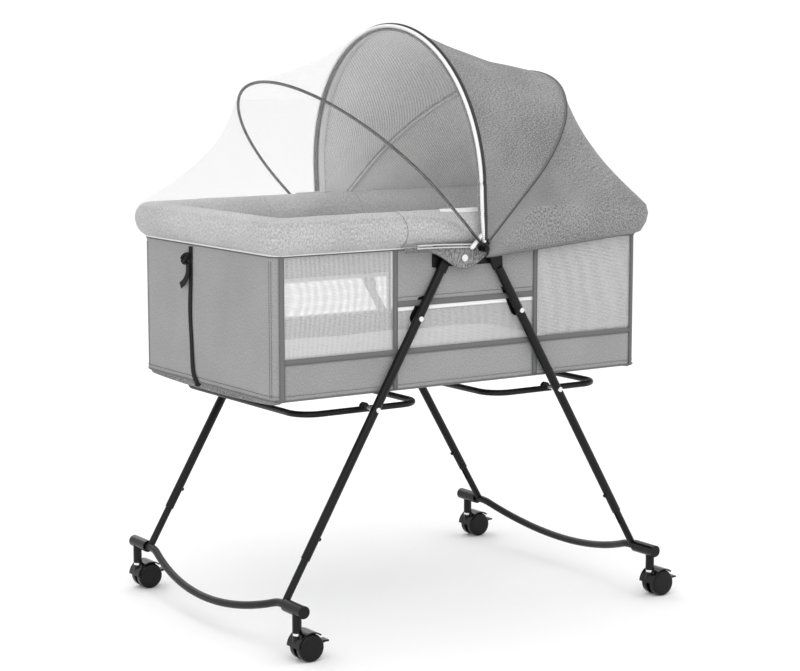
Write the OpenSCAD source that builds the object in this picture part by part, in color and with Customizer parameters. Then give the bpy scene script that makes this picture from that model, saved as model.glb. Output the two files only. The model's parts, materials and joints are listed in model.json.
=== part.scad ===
// Bassinet on a folding stand: a fabric basket with a padded rim, a fan-fold canopy with a
// mosquito net, and a tubular stand on rocker bars with flip-up twin-wheel casters.
// Millimetres. +X runs along the basket towards the canopy's tail, +Y to the back, +Z up.
// The origin is on the floor, under the centre of the stand.

/* [Basket] */
// Length of the basket over its end walls
basket_l = 780; // [740:10:840]
// Width of the basket over its side walls
basket_w = 470; // [460:2:476]
// Height of the basket's underside above the floor
basket_z = 430; // [425:1:440]
// Height of the padded rim's underside above the floor
rim_z = 676; // [670:1:682]
// Height of the padded rim
rim_h = 62; // [56:1:70]
// How far the padded rim stands out past the walls
rim_over_x = 22; // [18:1:26]
// How far the padded rim stands out past the side walls
rim_over_y = 27; // [26:1:28]

/* [Stand] */
// Lean of the legs from the vertical, in degrees
leg_tilt = 30.4; // [29.5:0.1:31]
// Distance of the leg centrelines from the middle of the stand
leg_y = 245.5; // [245:0.5:248]
// Distance of the rocker bars from the middle of the stand
bar_x = 382; // [377:1:385]
// Height of the rocker bars' straight ends
bar_z = 88; // [86:1:92]
// Sag of the rocker bars, measured in the plane of the legs
bar_sag = 43; // [35:1:45]
// Outer diameter of the upper leg tubes
leg_d = 16; // [15:0.5:16]
// Outer diameter of the lower leg tubes
slider_d = 13; // [12:0.5:13]

/* [Casters] */
// Diameter of the caster wheels
wheel_d = 48; // [44:1:50]
// Distance from the swivel axis to the axle
caster_trail = 19; // [16:1:20]
// Width over both wheels of a caster
caster_w = 38; // [36:1:40]

/* [Canopy] */
// Reach of the front hoop from its pivot
front_reach = 382; // [370:1:390]
// Reach of the rear hoop from its pivot
rear_reach = 418; // [400:1:425]
// Reach of the net hoop from its pivot
net_reach = 398; // [390:1:405]
// Lean of the front hoop from the vertical, in degrees
front_lean = -2.4; // [-5:0.1:0]
// Lean of the rear hoop from the vertical, in degrees
rear_lean = 44.7; // [40:0.1:48]
// Lean of the net hoop from the vertical, in degrees
net_lean = -44; // [-48:0.1:-40]

/* [Hidden] */

steel_black = [0.06, 0.06, 0.065];
plastic_black = [0.04, 0.04, 0.045];
chrome_grey = [0.8, 0.8, 0.82];
fabric_grey = [0.52, 0.53, 0.54];
rim_grey = [0.66, 0.67, 0.68];
mesh_white = [0.86, 0.87, 0.88];

eps = 0.01;
round_fn = 64;
fabric_t = 3;
half_l = basket_l / 2;
half_w = basket_w / 2;
corner_r = 22;

// Rim: an inverted channel of padding over the rim tubes
rim_half_l = half_l + rim_over_x;
rim_half_w = half_w + rim_over_y;
rim_r = 40;
rim_roll = 64;
rim_top = rim_z + rim_h;
channel_in = 20;
channel_w = 32;
channel_h = 40;
rim_tube_d = 16;
rim_tube_inset = 40;
rim_tube_z = rim_z + 24;
rim_tube_r = 32;

// Legs: places along a leg are measured from the foot, up the tube
leg_pivot_l = 661;
upper_rivet_l = 540;
lower_rivet_l = 365;
leg_end_l = 82;
leg_tab_l = 632;
leg_bore_d = 13.6;
slider_bore_d = 10;
slider_top_l = 280;
button_l = 124;
button_d = 6.5;
slot_w = button_d + 0.7;
pin_d = 6;
rivet_d = 5;
head_d = 9;
running = 0.1;
pivot_x = bar_x - leg_pivot_l * sin(leg_tilt);
pivot_z = bar_z + leg_pivot_l * cos(leg_tilt);
tab_t = 8;
tab_w = 18;

// Hub plates stand between the walls and the leg tabs
hub_y = 237.6;
hub_t = 3;
hub_w = 150;
brace_y = 235.5;
brace_t = 1.6;

// Fabric flaps in front of the hub plates
flap_x = -15;
flap_y = 255.6;
flap_t = 2.4;
stud_d = 12.5;

// Hoops turn on one pin at each side, and lie side by side along it
hoop_pivot = [11, 0, 671];
rear_w = 266;
front_w = 272.6;
net_w = 278.2;
hoop_d = 6;
net_hoop_d = 4;
hoop_pin_d = 5;
eye_d = 12;

// Floor loops
loop_w = 418;
loop_out = 128;
loop_in = 120;
loop_d = 11;
loop_r = 40;
loop_drop = 4;

bar_d = 14;
bar_straight = 238;
sleeve_d = 22;
sleeve_from = 252.5;
sleeve_to = 310;
stub_x = 3;
stub_y = 291.5;
stub_d = 16;
stub_z = 50;
collar_h = 4.4;
stem_d = 8;
axle_d = 6;
wheel_r = wheel_d / 2;
web_t = 8;
side_gap = 0.6;
wheel_t = (caster_w - web_t) / 2 - side_gap;
hood_gap = 1.5;
hood_t = 2.5;

// ---------- shared shapes ----------

module rounded_plate(l, w, r) {
    square([l - 2 * r, w], center = true);
    square([l, w - 2 * r], center = true);
    for (x = [-1, 1], y = [-1, 1])
        translate([x * (l / 2 - r), y * (w / 2 - r)]) circle(r = r, $fn = round_fn);
}

module rod_y(d, from, to) {
    translate([0, from, 0]) rotate([-90, 0, 0]) cylinder(d = d, h = to - from, $fn = round_fn);
}

// Draws its children at the front and, mirrored, at the back
module both_sides() {
    children();
    mirror([0, 1, 0]) children();
}

// Draws its children on the left (side -1) or on the right (side 1)
module on_side(side) {
    if (side > 0) children();
    else mirror([1, 0, 0]) children();
}

// Draws its children at the back (end 1) or at the front (end -1)
module at_end(end) {
    if (end > 0) children();
    else mirror([0, 1, 0]) children();
}

// The plane of a pair of legs: local x runs to the back, y up along the legs, z outwards
module leg_plane() {
    translate([bar_x, 0, bar_z]) rotate([0, -leg_tilt, 0]) rotate([90, 0, 90]) children();
}

// A leg's own frame: local z runs up the tube from the foot, x outwards
module leg_frame(y) {
    translate([bar_x, y, bar_z]) rotate([0, -leg_tilt, 0]) children();
}

// A thin closed sheet over a grid of points; each row has the same number of points
function unit(v) = v / max(norm(v), 1e-6);
function grid_normal(g, i, j) =
    let (rows = len(g), cols = len(g[0]))
    let (a = g[min(i + 1, rows - 1)][j] - g[max(i - 1, 0)][j])
    let (b = g[i][min(j + 1, cols - 1)] - g[i][max(j - 1, 0)])
    unit(cross(a, b));
module sheet(g, t) {
    rows = len(g);
    cols = len(g[0]);
    n = rows * cols;
    top = [for (i = [0:rows - 1], j = [0:cols - 1]) g[i][j] + grid_normal(g, i, j) * t / 2];
    bottom = [for (i = [0:rows - 1], j = [0:cols - 1]) g[i][j] - grid_normal(g, i, j) * t / 2];
    at = function (i, j) i * cols + j;
    faces = concat(
        [for (i = [0:rows - 2], j = [0:cols - 2]) [at(i, j), at(i, j + 1), at(i + 1, j + 1)]],
        [for (i = [0:rows - 2], j = [0:cols - 2]) [at(i, j), at(i + 1, j + 1), at(i + 1, j)]],
        [for (i = [0:rows - 2], j = [0:cols - 2]) [n + at(i, j), n + at(i + 1, j + 1), n + at(i, j + 1)]],
        [for (i = [0:rows - 2], j = [0:cols - 2]) [n + at(i, j), n + at(i + 1, j), n + at(i + 1, j + 1)]],
        [for (j = [0:cols - 2]) [at(0, j), n + at(0, j), n + at(0, j + 1)]],
        [for (j = [0:cols - 2]) [at(0, j), n + at(0, j + 1), at(0, j + 1)]],
        [for (j = [0:cols - 2]) [at(rows - 1, j), n + at(rows - 1, j + 1), n + at(rows - 1, j)]],
        [for (j = [0:cols - 2]) [at(rows - 1, j), at(rows - 1, j + 1), n + at(rows - 1, j + 1)]],
        [for (i = [0:rows - 2]) [at(i, 0), n + at(i + 1, 0), n + at(i, 0)]],
        [for (i = [0:rows - 2]) [at(i, 0), at(i + 1, 0), n + at(i + 1, 0)]],
        [for (i = [0:rows - 2]) [at(i, cols - 1), n + at(i, cols - 1), n + at(i + 1, cols - 1)]],
        [for (i = [0:rows - 2]) [at(i, cols - 1), n + at(i + 1, cols - 1), at(i + 1, cols - 1)]]);
    polyhedron(concat(top, bottom), faces);
}

// ---------- basket ----------

module hub_plates() {
    low = pivot_z - 18;
    high = rim_tube_z + 12;
    color(steel_black) both_sides() {
        translate([0, hub_y, 0]) mirror([0, 1, 0]) rotate([90, 0, 0]) linear_extrude(hub_t) difference() {
            translate([-hub_w / 2, low]) square([hub_w, high - low]);
            translate([hoop_pivot[0], hoop_pivot[2]]) circle(d = hoop_pin_d, $fn = round_fn);
            for (x = [-pivot_x, pivot_x])
                translate([x, pivot_z]) circle(d = pin_d, $fn = round_fn);
        }
        translate([-20, half_w - 22, rim_tube_z - 9]) cube([40, hub_y - half_w + 22 + eps, 18]);
    }
}

// Pins of the legs and of the hoops, fixed in the hub plates
module hub_pins() {
    color(chrome_grey) both_sides() {
        for (x = [-pivot_x, pivot_x]) translate([x, 0, pivot_z]) {
            rod_y(pin_d, hub_y, leg_y + tab_t / 2 + 0.6);
            rod_y(11, leg_y + tab_t / 2 + 0.6, leg_y + tab_t / 2 + 3);
        }
        translate(hoop_pivot) {
            rod_y(hoop_pin_d, hub_y, net_w + net_hoop_d / 2 + 0.6);
            rod_y(10, net_w + net_hoop_d / 2 + 0.6, net_w + net_hoop_d / 2 + 2.6);
        }
    }
}

module rim_tubes() {
    x_end = rim_half_l - rim_tube_inset;
    y_side = rim_half_w - rim_tube_inset;
    color(steel_black) for (side = [-1, 1]) on_side(side) translate([0, 0, rim_tube_z]) {
        both_sides() {
            translate([20, y_side, 0]) rotate([0, 90, 0]) difference() {
                cylinder(d = rim_tube_d, h = x_end - rim_tube_r - 20, $fn = round_fn);
                translate([0, 0, -1]) cylinder(d = rim_tube_d - 3, h = x_end, $fn = round_fn);
            }
            translate([x_end - rim_tube_r, y_side - rim_tube_r, 0]) rotate_extrude(angle = 90, $fn = 96)
                translate([rim_tube_r, 0]) difference() {
                    circle(d = rim_tube_d, $fn = round_fn);
                    circle(d = rim_tube_d - 3, $fn = round_fn);
                }
        }
        translate([x_end, 0, 0]) rotate([90, 0, 0]) difference() {
            cylinder(d = rim_tube_d, h = 2 * (y_side - rim_tube_r), center = true, $fn = round_fn);
            cylinder(d = rim_tube_d - 3, h = basket_w, center = true, $fn = round_fn);
        }
    }
}

// Rounded ring between two offsets measured in from the rim's outer edge
module rim_ring(from, to) {
    difference() {
        rounded_plate(2 * (rim_half_l - from), 2 * (rim_half_w - from), max(rim_r - from, 12));
        rounded_plate(2 * (rim_half_l - to), 2 * (rim_half_w - to), max(rim_r - to, 12));
    }
}

module rim_cover() {
    edge = 8;
    color(rim_grey) difference() {
        union() {
            translate([0, 0, rim_z]) linear_extrude(rim_h - edge) rim_ring(0, rim_roll);
            translate([0, 0, rim_top - edge - eps]) linear_extrude(edge + eps) rim_ring(edge, rim_roll - edge);
        }
        translate([0, 0, rim_z - eps]) linear_extrude(channel_h) rim_ring(channel_in, channel_in + channel_w);
        translate([hoop_pivot[0], 0, hoop_pivot[2]]) rod_y(hoop_pin_d + 6, -300, 300);
    }
}

// Fabric flaps that hang from the rim in front of the leg pivots
module hub_flaps() {
    color(fabric_grey) both_sides() translate([0, flap_y + flap_t, 0]) rotate([90, 0, 0]) linear_extrude(flap_t)
        difference() {
            translate([flap_x, rim_z]) polygon(concat(
                [[-95, 0], [95, 0]],
                [for (a = [0:10:180]) [80 * cos(a) * (1 - 0.35 * sin(a)), -12 - 31 * sin(a)]]));
            translate([hoop_pivot[0], hoop_pivot[2]]) circle(d = hoop_pin_d + 4, $fn = round_fn);
        }
}

module flap_studs() {
    color(chrome_grey) both_sides() translate([-20, 0, 655]) {
        rod_y(stud_d, flap_y + flap_t, flap_y + flap_t + 1.6);
        rod_y(stud_d - 4, flap_y + flap_t + 1.6, flap_y + flap_t + 2.6);
    }
}

// Window openings of a side wall: [lowest x, highest x, lowest z, highest z]
windows = [[-378, -156, 498, 672], [-146, 146, 498, 575], [156, 378, 498, 672]];
wall_top = rim_tube_z - 11;

module side_windows() {
    for (w = windows) translate([w[0], w[2]]) square([w[1] - w[0], w[3] - w[2]]);
}

module basket_walls() {
    color(fabric_grey) difference() {
        translate([0, 0, basket_z]) linear_extrude(wall_top - basket_z) difference() {
            rounded_plate(basket_l, basket_w, corner_r);
            rounded_plate(basket_l - 2 * fabric_t, basket_w - 2 * fabric_t, corner_r - fabric_t);
        }
        rotate([90, 0, 0]) linear_extrude(basket_w + 10, center = true) side_windows();
    }
}

module mesh_windows() {
    mesh_t = 1.2;
    color(mesh_white) both_sides() translate([0, half_w - 0.9, 0]) rotate([90, 0, 0])
        linear_extrude(mesh_t) side_windows();
}

module floor_panel() {
    color(fabric_grey) translate([0, 0, basket_z]) linear_extrude(4)
        rounded_plate(basket_l - 2 * fabric_t - 1, basket_w - 2 * fabric_t - 1, corner_r - fabric_t);
}

module mattress() {
    color(mesh_white) translate([0, 0, basket_z + 4.5]) linear_extrude(38)
        rounded_plate(basket_l - 14, basket_w - 14, corner_r - 4);
}

// Webbing strap down the left end wall, tucked under the floor, with its slide buckle and tail
strap_y = 55;
module tie_strap() {
    strap_w = 8;
    strap_t = 1.4;
    color(plastic_black) translate([-half_l - strap_t - 0.2, strap_y, 0]) {
        translate([0, -strap_w / 2, basket_z - strap_t - 0.2]) cube([strap_t, strap_w, rim_z - basket_z - 4]);
        translate([0, -strap_w / 2, basket_z - strap_t - 0.2]) cube([46, strap_w, strap_t]);
        translate([-4, -8, rim_z - 36]) cube([4 + eps, 16, 20]);
        translate([-2.4, -19, rim_z - 62]) rotate([18, 0, 0]) cube([strap_t, strap_w, 34]);
    }
}

// ---------- canopy and net ----------

// In a hoop's own frame: pivot at the origin, z along the sides towards the crown
module hoop_place(lean) {
    translate(hoop_pivot) rotate([0, lean, 0]) children();
}

module hoop(width, reach, d) {
    straight = reach - width;
    both_sides() {
        difference() {
            union() {
                translate([0, width, 0]) cylinder(d = d, h = straight, $fn = round_fn);
                rod_y(eye_d, width - d / 2 + 0.6, width + d / 2 - 0.6);
            }
            rod_y(hoop_pin_d + running, width - 10, width + 10);
        }
    }
    translate([0, 0, straight]) rotate([90, 0, 90]) rotate_extrude(angle = 180, $fn = 180)
        translate([width, 0]) circle(d = d, $fn = round_fn);
}

module rear_hoop() { color(plastic_black) hoop_place(rear_lean) hoop(rear_w, rear_reach, hoop_d); }
module front_hoop() { color(plastic_black) hoop_place(front_lean) hoop(front_w, front_reach, hoop_d); }
module net_hoop() { color(plastic_black) hoop_place(net_lean) hoop(net_w, net_reach, net_hoop_d); }

// A point of a hoop-shaped line: t runs from 0 at the front side to 1 at the back side
function hoop_line(width, reach, start, t) =
    let (straight = reach - width, side = straight - start, arc = PI * width, total = 2 * side + arc)
    let (s = t * total)
    s < side ? [-width, start + s]
    : s < side + arc ? let (a = 180 * (s - side) / arc) [-width * cos(a), straight + width * sin(a)]
    : [width, straight - (s - side - arc)];

// The same point in the object's frame, a little way round from the hoop so that it clears the wire
function hoop_at(width, reach, lean, start, gap, t) =
    let (p = hoop_line(width, reach, start, t), a = lean + gap / p[1] * 180 / PI)
    hoop_pivot + [p[1] * sin(a), p[0], p[1] * cos(a)];

sheet_cols = 48;
wire_gap = 4.6;
canopy_start = 72;

// Distance of a point from the hoops' pin line
function reach_of(p) = norm([p[0], p[2]]);

// The cover bulges a little outwards between the two hoops
module canopy_cover() {
    rows = 6;
    g = [for (i = [0:rows])
        [for (j = [0:sheet_cols])
            let (t = j / sheet_cols, k = i / rows)
            let (a = hoop_at(front_w - 0.2, front_reach, front_lean, canopy_start, wire_gap, t))
            let (b = hoop_at(rear_w + 3, rear_reach, rear_lean, canopy_start, -wire_gap, t))
            let (m = a + (b - a) * k - hoop_pivot)
            let (full = reach_of(a - hoop_pivot) * (1 - k) + reach_of(b - hoop_pivot) * k)
            let (f = 1 / (0.55 + 0.45 * reach_of(m) / full))
            hoop_pivot + [m[0] * f, m[1], m[2] * f]]];
    color(fabric_grey) sheet(g, 2);
}

// The outline of the rim, seen from above, from the front round one end to the back
function rim_line(from_x, grow, z, t) =
    let (l = rim_half_l + grow, w = rim_half_w + grow, r = rim_r + grow)
    let (side = l - r - from_x, arc = PI * r / 2, end = 2 * (w - r), total = 2 * side + 2 * arc + end)
    let (s = t * total)
    s < side ? [from_x + s, -w, z]
    : s < side + arc ? let (a = 90 * (s - side) / arc) [l - r + r * sin(a), -w + r - r * cos(a), z]
    : s < side + arc + end ? [l, -w + r + (s - side - arc), z]
    : s < side + 2 * arc + end ? let (a = 90 * (s - side - arc - end) / arc)
        [l - r + r * cos(a), w - r + r * sin(a), z]
    : [l - r - (s - side - 2 * arc - end), w, z];
function flip_x(p) = [-p[0], p[1], p[2]];

// The tail: from the rear hoop down to the rim's end, then down the outside of the rim
module canopy_tail() {
    rows = 7;
    g = [for (i = [0:rows])
        [for (j = [0:sheet_cols])
            let (t = j / sheet_cols, k = i / rows)
            let (a = hoop_at(rear_w + 3, rear_reach, rear_lean, canopy_start, wire_gap, t))
            let (b = rim_line(130, 6, rim_top + 4, t))
            let (bow = 34 * sin(180 * t) * sin(180 * k))
            a + (b - a) * k - [bow * 0.7, 0, bow * 0.7]]];
    skirt = [for (j = [0:sheet_cols]) rim_line(130, 6, rim_z + 10, j / sheet_cols)];
    color(fabric_grey) sheet(concat(g, [skirt]), 2);
}

module net_upper() {
    rows = 5;
    g = [for (i = [0:rows])
        [for (j = [0:sheet_cols])
            let (t = j / sheet_cols, k = i / rows)
            let (a = hoop_at(net_w + 1, net_reach, net_lean, canopy_start, wire_gap, t))
            let (b = hoop_at(front_w + 2, front_reach, front_lean, canopy_start, -wire_gap, t))
            let (bow = 10 * sin(180 * t) * sin(180 * k))
            a + (b - a) * k - [0, 0, bow]]];
    color(mesh_white) sheet(g, 1.2);
}

module net_lower() {
    rows = 5;
    g = [for (i = [0:rows])
        [for (j = [0:sheet_cols])
            let (t = j / sheet_cols, k = i / rows)
            let (b = hoop_at(net_w + 1, net_reach, net_lean, canopy_start, -wire_gap, t))
            let (a = flip_x(rim_line(60, 12, rim_top + 2, t)))
            let (bow = 26 * sin(180 * t) * sin(180 * k))
            a + (b - a) * k + [bow * 0.7, 0, -bow * 0.7]]];
    color(mesh_white) sheet(g, 1.2);
}

// ---------- legs ----------

module leg(y) {
    color(steel_black) leg_frame(y) difference() {
        union() {
            translate([0, 0, leg_end_l]) cylinder(d = leg_d, h = leg_tab_l - leg_end_l, $fn = round_fn);
            translate([-tab_w / 2, -tab_t / 2, leg_tab_l - eps])
                cube([tab_w, tab_t, leg_pivot_l - leg_tab_l + eps]);
            translate([0, 0, leg_pivot_l]) rod_y(tab_w, -tab_t / 2, tab_t / 2);
        }
        translate([0, 0, leg_end_l - 1]) cylinder(d = leg_bore_d, h = leg_tab_l - leg_end_l - 11, $fn = round_fn);
        translate([0, 0, leg_pivot_l]) rod_y(pin_d + running, -20, 20);
        for (l = [upper_rivet_l, lower_rivet_l]) translate([0, 0, l]) rod_y(rivet_d, -20, 20);
        translate([-leg_d, 0, button_l]) rotate([0, 90, 0]) cylinder(d = slot_w, h = leg_d, $fn = round_fn);
    }
}

// Steel braces beside the legs, riveted low down, with their heads up under the rim
module braces() {
    top_z = rim_z - 3;
    top_x = 86;
    low = [bar_x - upper_rivet_l * sin(leg_tilt), bar_z + upper_rivet_l * cos(leg_tilt)];
    bend_z = 622;
    bend_l = (bend_z - bar_z) / cos(leg_tilt);
    color(steel_black) both_sides() translate([0, brace_y + brace_t, 0]) rotate([90, 0, 0])
        linear_extrude(brace_t) difference() {
            union() {
                translate(low) circle(d = 22, $fn = round_fn);
                polygon([low + 11 * [-cos(leg_tilt), -sin(leg_tilt)], low + 11 * [cos(leg_tilt), sin(leg_tilt)],
                    [top_x, bend_z], [top_x, top_z], [top_x - 24, top_z],
                    [bar_x - bend_l * sin(leg_tilt) - 8, bend_z]]);
            }
            translate(low) circle(d = rivet_d, $fn = round_fn);
        }
}

// Rivets through the legs: the upper ones hold the braces, the lower ones carry the floor loops
module rivets() {
    color(chrome_grey) both_sides() leg_frame(0) {
        translate([0, 0, upper_rivet_l]) {
            rod_y(rivet_d, brace_y, leg_y + leg_d / 2);
            rod_y(head_d, leg_y + leg_d / 2, leg_y + leg_d / 2 + 2);
        }
        translate([0, 0, lower_rivet_l]) {
            rod_y(rivet_d, loop_w / 2 - 4, leg_y + leg_d / 2);
            rod_y(head_d, leg_y + leg_d / 2, leg_y + leg_d / 2 + 2);
            rod_y(head_d, leg_y - leg_d / 2 - 5, leg_y - leg_d / 2 - 0.2);
        }
    }
}

// A flat rounded hoop of tube under the floor, with a pierced lug on each long side
module floor_loop() {
    cx = bar_x - lower_rivet_l * sin(leg_tilt);
    cz = bar_z + lower_rivet_l * cos(leg_tilt);
    y = loop_w / 2;
    color(steel_black) translate([cx, 0, cz]) difference() {
        union() {
            translate([0, 0, -loop_drop]) {
                both_sides() {
                    translate([-loop_in + loop_r, y, 0]) rotate([0, 90, 0])
                        cylinder(d = loop_d, h = loop_out + loop_in - 2 * loop_r, $fn = round_fn);
                    for (x = [-1, 1])
                        translate([x > 0 ? loop_out - loop_r : -loop_in + loop_r, y - loop_r, 0])
                            rotate([0, 0, x > 0 ? 0 : 90]) rotate_extrude(angle = 90, $fn = 96)
                                translate([loop_r, 0]) circle(d = loop_d, $fn = round_fn);
                }
                for (x = [-loop_in, loop_out])
                    translate([x, 0, 0]) rod_y(loop_d, loop_r - y, y - loop_r);
            }
            both_sides() rod_y(16, y - 4, y + 4);
        }
        rod_y(rivet_d + running, -300, 300);
    }
}

// ---------- lower frame ----------

module slider_tube(y) {
    leg_frame(y) difference() {
        translate([0, 0, bar_d / 2 - 2]) cylinder(d = slider_d, h = slider_top_l, $fn = round_fn);
        translate([0, 0, bar_d / 2 + 4]) cylinder(d = slider_bore_d, h = slider_top_l, $fn = round_fn);
        rod_y(bar_d, -20, 20);
        translate([-slider_d, -slot_w / 2, button_l - 68]) cube([slider_d, slot_w, 74]);
    }
}

module slider_tubes() {
    color(steel_black) for (y = [-leg_y, leg_y]) slider_tube(y);
}

// A rocker bar: straight ends, a short reverse bend, and one long sagging arc between. Each
// stretch is a shade thicker than the one nearer the middle, and overlaps it a little.
module rocker_bar() {
    turn = 2 * atan(bar_sag / bar_straight);
    bend_r = 70;
    sag_r = bar_straight / sin(turn) - bend_r;
    step = 0.2;
    lap = 0.5;
    color(steel_black) leg_plane() {
        translate([0, sag_r - bar_sag, 0]) rotate([0, 0, 270 - turn - lap / 4])
            rotate_extrude(angle = 2 * turn + lap / 2, $fn = 360)
                translate([sag_r, 0]) circle(d = bar_d - 2 * step, $fn = 48);
        for (side = [0, 1]) mirror([side, 0, 0]) {
            translate([bar_straight, -bend_r, 0]) rotate([0, 0, 90])
                rotate_extrude(angle = turn, $fn = 180) translate([bend_r, 0]) circle(d = bar_d - step, $fn = 48);
            translate([bar_straight - lap, 0, 0]) rotate([0, 90, 0])
                cylinder(d = bar_d, h = sleeve_to - 4 - bar_straight + lap, $fn = round_fn);
        }
    }
}

// Spring button of a leg: a head outside, and a tip that runs in the lower tube's slot
module button(side, y) {
    color(plastic_black) on_side(side) leg_frame(y) translate([0, 0, button_l]) rotate([0, -90, 0]) {
        translate([0, 0, leg_bore_d / 2 + 0.1]) cylinder(d = button_d, h = 3.6, $fn = round_fn);
        translate([0, 0, leg_bore_d / 2 + 3.7 - eps]) cylinder(d1 = button_d, d2 = 4.5, h = 0.8, $fn = round_fn);
        translate([0, 0, 4.6]) cylinder(d = 4.6, h = 3, $fn = round_fn);
    }
}

// ---------- casters ----------

// Caster places: [side, end] is -1 or 1 on each; the stub hangs just outside the bar
function stub_at(side, end) = [side * (bar_x + stub_x), end * stub_y, 0];
function axle_at(side, end) = stub_at(side, end) + [caster_trail, 0, wheel_r];

module bracket(side, end) {
    color(plastic_black) difference() {
        union() {
            translate([side * bar_x, 0, bar_z]) at_end(end) rod_y(sleeve_d, sleeve_from, sleeve_to);
            translate(stub_at(side, end) + [0, 0, stub_z]) cylinder(d = stub_d, h = bar_z - stub_z, $fn = round_fn);
        }
        translate([side * bar_x, 0, bar_z]) at_end(end) rod_y(bar_d + running, sleeve_from - 1, sleeve_to - 3.5);
        translate(stub_at(side, end) + [0, 0, stub_z - 1]) cylinder(d = stem_d + running, h = 25, $fn = round_fn);
    }
}

// The stem with its collar, and the axle, of one caster
module caster_pins(side, end) {
    color(chrome_grey) {
        translate(stub_at(side, end)) {
            translate([0, 0, 33]) cylinder(d = stem_d, h = stub_z + 23 - 33, $fn = round_fn);
            translate([0, 0, stub_z - collar_h]) cylinder(d = 14, h = collar_h - 0.4, $fn = round_fn);
        }
        translate(axle_at(side, end)) rod_y(axle_d, -caster_w / 2 + 3, caster_w / 2 - 3);
    }
}

module hood(side, end) {
    r_in = wheel_r + hood_gap;
    r_out = r_in + hood_t;
    color(plastic_black) difference() {
        union() {
            translate(axle_at(side, end)) {
                difference() {
                    rod_y(2 * r_out, -caster_w / 2, caster_w / 2);
                    rod_y(2 * r_in, -caster_w, -web_t / 2);
                    rod_y(2 * r_in, web_t / 2, caster_w);
                    translate([-60, -60, -90]) cube([120, 120, 90 + 2]);
                    rotate([0, 40, 0]) translate([0, -60, -60]) cube([120, 120, 120]);
                }
                rod_y(20, -web_t / 2, web_t / 2);
                translate([-caster_trail, -web_t / 2, 0]) cube([caster_trail, web_t, 14]);
            }
            translate(stub_at(side, end) + [0, 0, 30])
                cylinder(d = 15, h = stub_z - collar_h - 30, $fn = round_fn);
        }
        translate(stub_at(side, end) + [0, 0, stub_z - collar_h])
            cylinder(d = stub_d + 2, h = 20, $fn = round_fn);
        translate(axle_at(side, end)) rod_y(axle_d, -30, 30);
        translate(stub_at(side, end) + [0, 0, 33]) cylinder(d = stem_d, h = 40, $fn = round_fn);
        translate(axle_at(side, end)) both_sides() rod_y(2 * r_in, web_t / 2, caster_w / 2);
    }
}

// One domed wheel of a caster; which is -1 for the one nearer the front
module wheel(side, end, which) {
    color(plastic_black) translate(axle_at(side, end)) at_end(which)
        translate([0, web_t / 2 + side_gap, 0]) rotate([-90, 0, 0]) rotate_extrude($fn = 96) difference() {
            polygon(concat(
                [[0, 0], [wheel_r - 1.5, 0], [wheel_r, 1.5], [wheel_r, wheel_t - 5]],
                [for (a = [10:16:90]) [wheel_r - 5 + 5 * cos(a) - (a > 60 ? (a - 60) * 0.2 : 0),
                    wheel_t - 5 + 5 * sin(a)]],
                [[0, wheel_t]]));
            translate([-1, -1]) square([1 + (axle_d + running) / 2, wheel_t - 1]);
        }
}

// The brake lever: a small pedal hinged across the tail of the hood
module brake(side, end) {
    color(plastic_black) translate(axle_at(side, end)) translate([wheel_r + hood_gap + 3, 0, 6]) {
        translate([-4, -9, -1.5]) cube([14, 18, 3]);
        rod_y(5, -9, 9);
    }
}

// ---------- the nodes ----------

hub_plates();
hub_pins();
rim_tubes();
rim_cover();
hub_flaps();
flap_studs();
basket_walls();
mesh_windows();
floor_panel();
tie_strap();
mattress();
rear_hoop();
front_hoop();
net_hoop();
canopy_cover();
canopy_tail();
net_upper();
net_lower();
on_side(-1) leg(-leg_y);  // leg_lf
on_side(-1) leg(leg_y);  // leg_lb
leg(-leg_y);  // leg_rf
leg(leg_y);  // leg_rb
on_side(-1) braces();  // left_braces
braces();  // right_braces
on_side(-1) rivets();  // left_rivets
rivets();  // right_rivets
on_side(-1) floor_loop();  // left_floor_loop
floor_loop();  // right_floor_loop
on_side(-1) slider_tubes();  // left_slider_tubes
slider_tubes();  // right_slider_tubes
on_side(-1) rocker_bar();  // left_rocker_bar
rocker_bar();  // right_rocker_bar
button(-1, -leg_y);  // button_lf
button(-1, leg_y);  // button_lb
button(1, -leg_y);  // button_rf
button(1, leg_y);  // button_rb
bracket(-1, -1);  // bracket_lf
bracket(-1, 1);  // bracket_lb
bracket(1, -1);  // bracket_rf
bracket(1, 1);  // bracket_rb
hood(-1, -1);  // hood_lf
hood(-1, 1);  // hood_lb
hood(1, -1);  // hood_rf
hood(1, 1);  // hood_rb
caster_pins(-1, -1);  // pins_lf
caster_pins(-1, 1);  // pins_lb
caster_pins(1, -1);  // pins_rf
caster_pins(1, 1);  // pins_rb
brake(-1, -1);  // brake_lf
brake(-1, 1);  // brake_lb
brake(1, -1);  // brake_rf
brake(1, 1);  // brake_rb
wheel(-1, -1, -1);  // wheel_lf_outer
wheel(-1, -1, 1);  // wheel_lf_inner
wheel(-1, 1, 1);  // wheel_lb_outer
wheel(-1, 1, -1);  // wheel_lb_inner
wheel(1, -1, -1);  // wheel_rf_outer
wheel(1, -1, 1);  // wheel_rf_inner
wheel(1, 1, 1);  // wheel_rb_outer
wheel(1, 1, -1);  // wheel_rb_inner
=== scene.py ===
"""Bassinet on a folding stand: the look of the object, built over its CAD frame."""
import json
import math

import bpy
import numpy as np
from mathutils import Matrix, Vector, noise


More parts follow.
